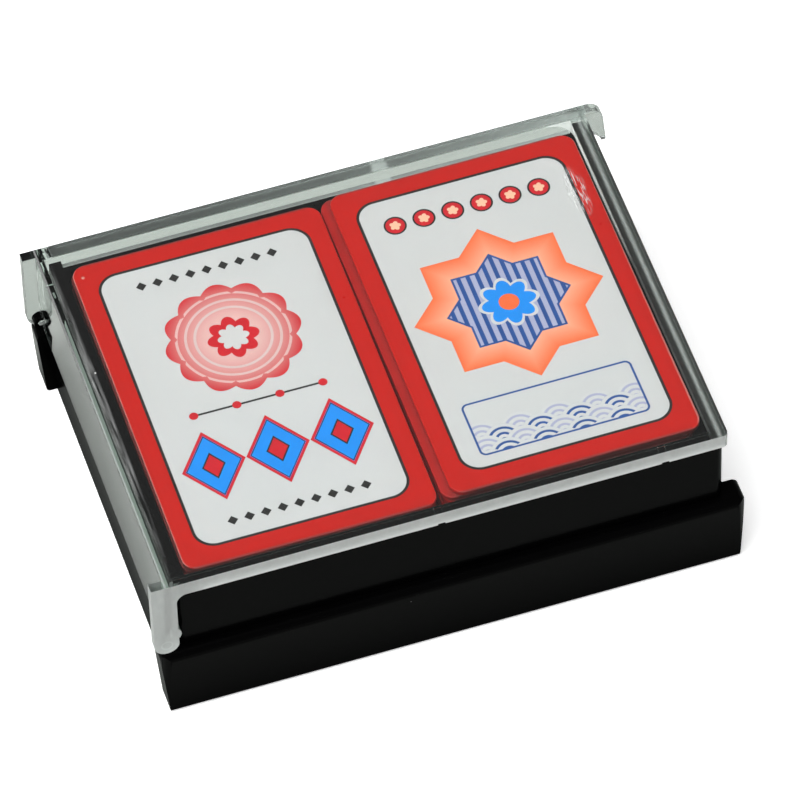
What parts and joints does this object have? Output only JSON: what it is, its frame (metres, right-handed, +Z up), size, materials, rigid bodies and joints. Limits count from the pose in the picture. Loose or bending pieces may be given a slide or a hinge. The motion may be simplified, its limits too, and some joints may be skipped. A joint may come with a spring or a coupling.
{
  "type": "playing card case",
  "caption": "Hinged clear-lid plastic case holding two side-by-side stacks of small thick playing cards in a black moulded tray with a plinth.",
  "frame": {"origin": "middle of the tray's sole, on the surface the case stands on", "axes": "+X from the hinge end to the opening end, along the longer side; +Y from front to back; +Z up"},
  "size_m": [0.083, 0.062, 0.0266],
  "materials": {
    "black_plastic": "glossy black moulded polystyrene with fine wear",
    "clear_plastic": "clear moulded polystyrene with a faint grey-green tint",
    "printed_card_face": null,
    "card_stock": "glossy red plastic card"
  },
  "bodies": {
    "case": {"base": "black_plastic", "card_left_01": "card_stock", "card_left_02": "card_stock", "card_left_03": "card_stock", "card_left_04": "card_stock", "card_left_05": "card_stock", "card_left_06": "card_stock", "card_left_07": "card_stock", "card_left_08": "card_stock", "card_left_09": "card_stock", "card_left_10": "card_stock", "card_left_11": "card_stock", "card_left_12": "card_stock", "card_left_13": "card_stock", "card_left_14": "card_stock", "card_left_15": "card_stock", "card_left_16": "card_stock", "card_left_17": "card_stock", "card_left_18": "card_stock", "card_left_19": "card_stock", "card_left_20": "card_stock", "card_left_21": "card_stock", "card_left_22": "card_stock", "card_left_23": "card_stock", "card_left_24": "card_stock", "card_left_25": "card_stock", "card_left_26": "card_stock", "card_left_27": "printed_card_face", "card_right_01": "card_stock", "card_right_02": "card_stock", "card_right_03": "card_stock", "card_right_04": "card_stock", "card_right_05": "card_stock", "card_right_06": "card_stock", "card_right_07": "card_stock", "card_right_08": "card_stock", "card_right_09": "card_stock", "card_right_10": "card_stock", "card_right_11": "card_stock", "card_right_12": "card_stock", "card_right_13": "card_stock", "card_right_14": "card_stock", "card_right_15": "card_stock", "card_right_16": "card_stock", "card_right_17": "card_stock", "card_right_18": "card_stock", "card_right_19": "card_stock", "card_right_20": "card_stock", "card_right_21": "card_stock", "card_right_22": "card_stock", "card_right_23": "card_stock", "card_right_24": "card_stock", "card_right_25": "card_stock", "card_right_26": "card_stock", "card_right_27": "printed_card_face"},
    "lid": {"lid": "clear_plastic"}
  },
  "joints": [
    {"name": "lid_hinge", "type": "hinge", "parent": "case", "child": "lid", "pos_m": [-0.03985, 0, 0.01425], "axis": [0, -1, 0], "range_deg": [0, 100]}
  ]
}
